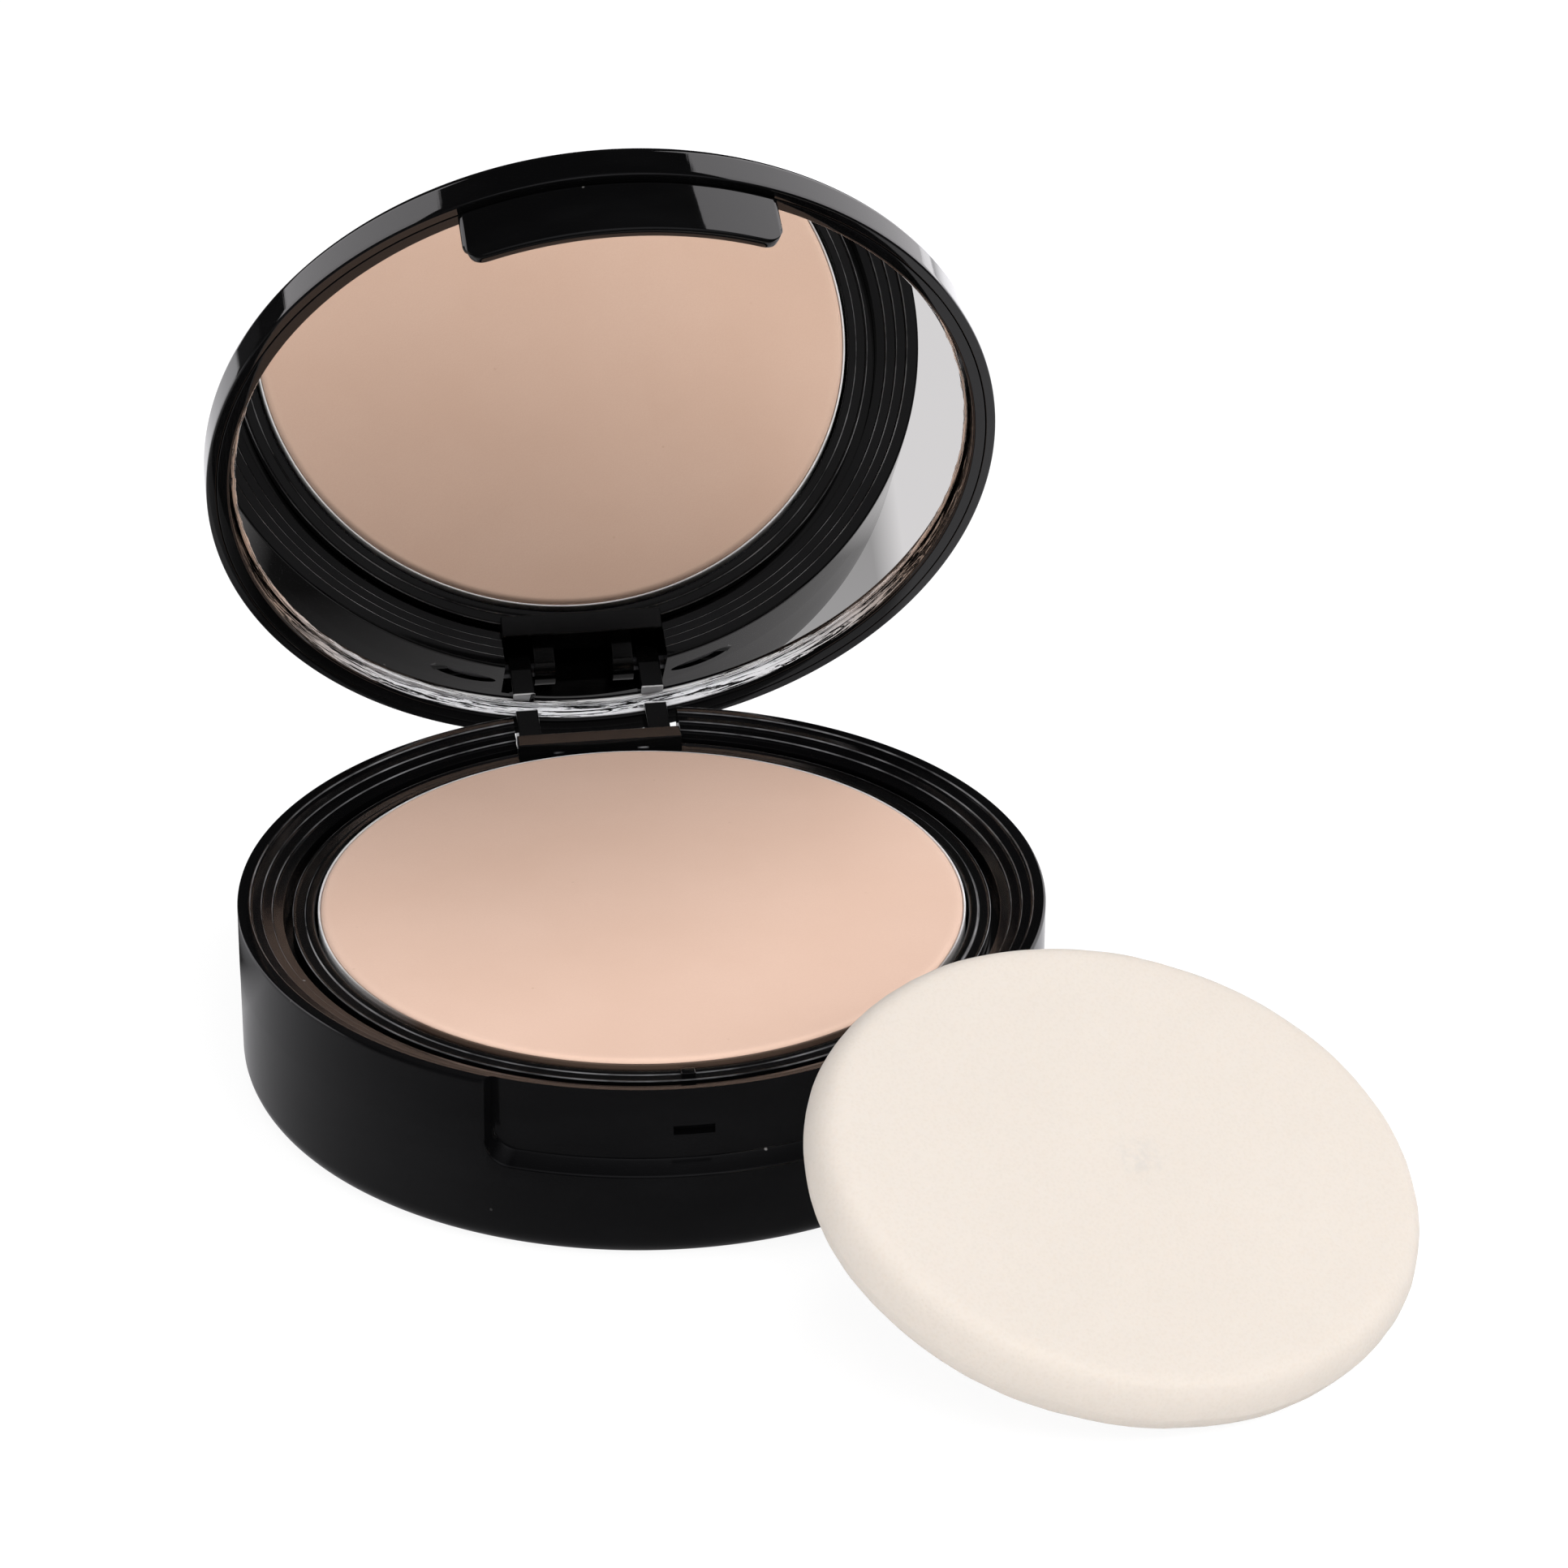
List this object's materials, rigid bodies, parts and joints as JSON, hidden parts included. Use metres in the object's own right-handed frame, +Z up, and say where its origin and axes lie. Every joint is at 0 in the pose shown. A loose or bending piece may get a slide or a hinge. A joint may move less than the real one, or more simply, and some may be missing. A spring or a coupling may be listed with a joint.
{
  "type": "powder compact",
  "caption": "Round hinged powder compact with a mirror lid, a pan of pressed powder on a hinged tray over a sponge well, and a loose foam sponge.",
  "frame": {"origin": "centre of the underside of the round base, on the surface that it stands on", "axes": "+Z up, +Y towards the hinge, -Y towards the front latch, +X to the right of someone facing the mirror"},
  "size_m": [0.0995, 0.1182, 0.0838],
  "materials": {
    "black_gloss": "polished black plastic",
    "black_tray": "semi-gloss black plastic",
    "black_lid": "polished black plastic",
    "black_bezel": "polished black plastic",
    "pan_aluminium": "drawn aluminium",
    "pressed_powder": "matt pressed powder, peach beige",
    "silvered_glass": "silvered glass mirror",
    "cream_foam": "fine-celled cream latex foam",
    "pin_steel": "drawn steel wire",
    "pan_glue": "cured glue",
    "mirror_tape": "double-sided foam tape",
    "label_paper": "blank paper label"
  },
  "bodies": {
    "base": {"base_shell": "black_gloss", "base_label": "label_paper", "hinge_pin_left": "pin_steel", "hinge_pin_right": "pin_steel"},
    "tray": {"pan_tray": "black_tray", "pan_glue": "pan_glue", "powder_pan": "pan_aluminium", "powder_cake": "pressed_powder"},
    "lid": {"lid_shell": "black_lid", "lid_bezel": "black_bezel", "lid_mirror": "silvered_glass", "mirror_pad": "mirror_tape"},
    "sponge": {"sponge_puff": "cream_foam"}
  },
  "joints": [
    {"name": "tray_hinge", "type": "hinge", "parent": "base", "child": "tray", "pos_m": [0, 0.0354, 0.013], "axis": [-1, 0, 0], "range_deg": [0, 40]},
    {"name": "lid_hinge", "type": "hinge", "parent": "tray", "child": "lid", "pos_m": [0, 0.0354, 0.013], "axis": [-1, 0, 0], "range_deg": [-69.2, 10]},
    {"name": "sponge_lift", "type": "slide", "parent": "base", "child": "sponge", "axis": [0, 0, 1], "range_m": [0, 0.08]}
  ]
}
